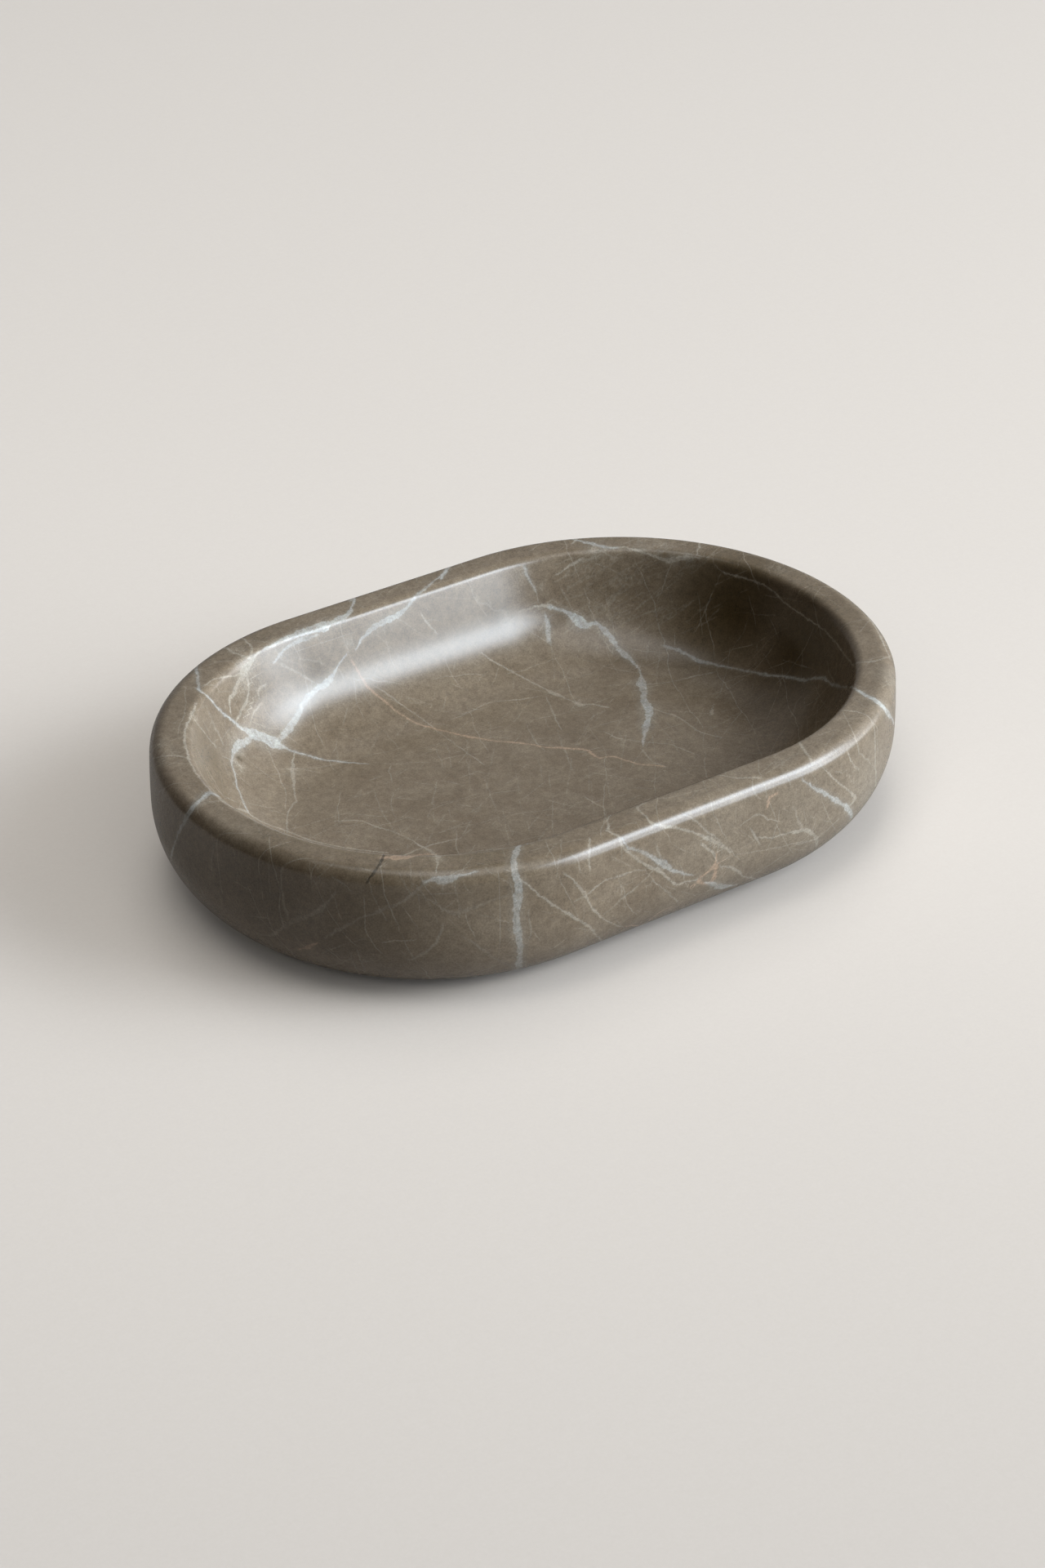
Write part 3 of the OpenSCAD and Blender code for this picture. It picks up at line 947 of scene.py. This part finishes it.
# These light only the floor, and shape the dish's shadow: azimuth, elevation, size and brightness
tableLamps = {
    "tableRight": (-51, 30, (1.28, 0.84), 13.0),
    "tableLow": (-40, 14, (2.0, 0.7), 8.0),
    "tableFront": (-97, 46, (2.1, 0.52), 7.0),
    "tableSide": (-138, 37, (1.9, 0.9), 5.8),
    "tableHigh": (-150, 66, (1.26, 1.26), 8.2),
    "tableBack": (55, 66, (1.26, 1.26), 3.8),
    "tableAbove": (0, 88, (1.26, 1.26), 3.0),
}
tableColour = (1.0, 0.99, 0.965)
lampDistance = 3.0             # metres
worldLook = {
    "colour": (0.95, 0.97, 1.0, 1),
    "strength": 0.015,
    "seen": (0.72, 0.70, 0.66, 1),   # past the floor's edge, in low views from the side
}


def seenRays(tree, mirrored=0.0):
    # 1 for rays that look at the scene, through glass too, and this share for those of a reflection
    ray = addNode(tree, "ShaderNodeLightPath").outputs
    seen = calc(tree, "MAXIMUM", ray["Is Camera Ray"], ray["Is Transmission Ray"])
    return calc(tree, "MAXIMUM", seen, times(tree, ray["Is Glossy Ray"], mirrored))


def makePaint(look):
    material, tree, shader = newMaterial("palePaint")
    place = objectPlace(tree)
    grain = placeGroup(tree, grainGroup, {"Place": place, **look["grain"]})[0]
    tone = overGrain(tree, grain, 1 - look["speckle"], 1 + look["speckle"])
    nearer = addNode(tree, "ShaderNodeVectorMath", {0: place, 1: direction(photoView["turn"] - 90)},
                     operation="DOT_PRODUCT").outputs["Value"]
    shade = remap(tree, nearer, 0.0, look["shade"][0], 1.0, look["shade"][1])
    colour = scaled(tree, scaled(tree, look["colour"], tone), shade)
    seen = seenRays(tree, look["mirrored"])
    bounced = plus(tree, look["bounced"], times(tree, seen, 1 - look["bounced"]))
    tree.links.new(scaled(tree, colour, bounced), shader.inputs["Base Color"])
    shader.inputs["Roughness"].default_value = look["roughness"]
    shader.inputs["Specular IOR Level"].default_value = look["specular"]
    return material


def selectEdges(mesh, test):
    for edge in mesh.edges:
        edge.select = all(test(mesh.vertices[v].co) for v in edge.vertices)


def makeStage(look):
    back = look["behind"] - look["slack"]
    deselectAll()
    bpy.ops.mesh.primitive_plane_add(size=2)
    floor = bpy.context.object
    floor.name = floor.data.name = "studioFloor"
    setMode("EDIT")
    pickAll()
    bpy.ops.transform.resize(value=(look["half"], (look["half"] + look["behind"]) / 2, 1))
    bpy.ops.transform.translate(value=(0, (look["behind"] - look["half"]) / 2, 0))
    pickAll("DESELECT")
    bpy.ops.mesh.select_mode(type="EDGE")
    setMode("OBJECT")
    selectEdges(floor.data, lambda spot: spot.y > back)
    setMode("EDIT")
    bpy.ops.mesh.extrude_region_move(TRANSFORM_OT_translate={"value": (0, 0, look["tall"])})
    setMode("OBJECT")
    selectEdges(floor.data, lambda spot: spot.y > back and spot.z < look["slack"])
    setMode("EDIT")
    bpy.ops.mesh.bevel(offset=look["curve"], segments=look["curveSteps"])
    pickAll()
    bpy.ops.mesh.normals_make_consistent(inside=True)
    setMode("OBJECT")
    bpy.ops.object.shade_smooth()
    turn = Matrix.Rotation(math.radians(photoView["turn"]), 4, "Z")    # the backdrop faces the camera
    floor.data.transform(turn)
    floor.data.materials.append(makePaint(look))
    return floor


def rampOver(tree, value, stops):
    ramp = addNode(tree, "ShaderNodeValToRGB", {0: value})
    ramp.color_ramp.interpolation = "EASE"
    marks = ramp.color_ramp.elements
    while len(marks) < len(stops):
        marks.new(0.5)
    for mark, (place, level) in zip(marks, stops):
        mark.position = place
        mark.color = (level, level, level, 1)
    return ramp.outputs[0]


def gradeLamp(data, values):
    data.use_nodes = True
    tree = data.node_tree
    x, y, _ = split(tree, objectPlace(tree))
    across = remap(tree, x, -data.size / 2, data.size / 2)
    upward = remap(tree, y, -data.size_y / 2, data.size_y / 2)
    level = times(tree, rampOver(tree, upward, values["rows"]), rampOver(tree, across, values["columns"]))
    tree.links.new(level, tree.nodes["Emission"].inputs["Strength"])


def makeLamp(name, values):
    data = bpy.data.lights.new(name, "AREA")
    data.shape = "RECTANGLE"
    data.size, data.size_y = values["size"]
    data.energy = math.pi * data.size * data.size_y * values["radiance"]
    data.color = values["colour"]
    if "rows" in values:
        gradeLamp(data, values)
    lamp = bpy.data.objects.new(name, data)
    outward = direction(values["azimuth"], values["elevation"])
    lamp.location = outward * lampDistance
    lamp.rotation_mode = "QUATERNION"
    lamp.rotation_quaternion = outward.to_track_quat("Z", "Y")
    bpy.context.scene.collection.objects.link(lamp)
    return lamp


def makeTableLamp(name, values, floor):
    azimuth, elevation, size, radiance = values
    lamp = makeLamp(name, {"azimuth": azimuth, "elevation": elevation, "size": size, "radiance": radiance,
                           "colour": tableColour})
    lit = bpy.data.collections.new(name + "Lights")
    lit.objects.link(floor)
    lamp.light_linking.receiver_collection = lit


def makeWorld(look):
    world = bpy.data.worlds.new("studioAir")
    bpy.context.scene.world = world
    world.use_nodes = True
    tree = world.node_tree
    air = tree.nodes["Background"]
    seen = seenRays(tree)
    tree.links.new(mixColour(tree, seen, look["colour"], look["seen"]), air.inputs["Color"])
    tree.links.new(remap(tree, seen, 0.0, 1.0, look["strength"], 1.0), air.inputs["Strength"])


floor = makeStage(stageLook)
for name, values in lamps.items():
    makeLamp(name, values)
for name, values in tableLamps.items():
    makeTableLamp(name, values, floor)
makeWorld(worldLook)
bpy.context.scene.view_settings.view_transform = "Standard"
print("stage and lights done")
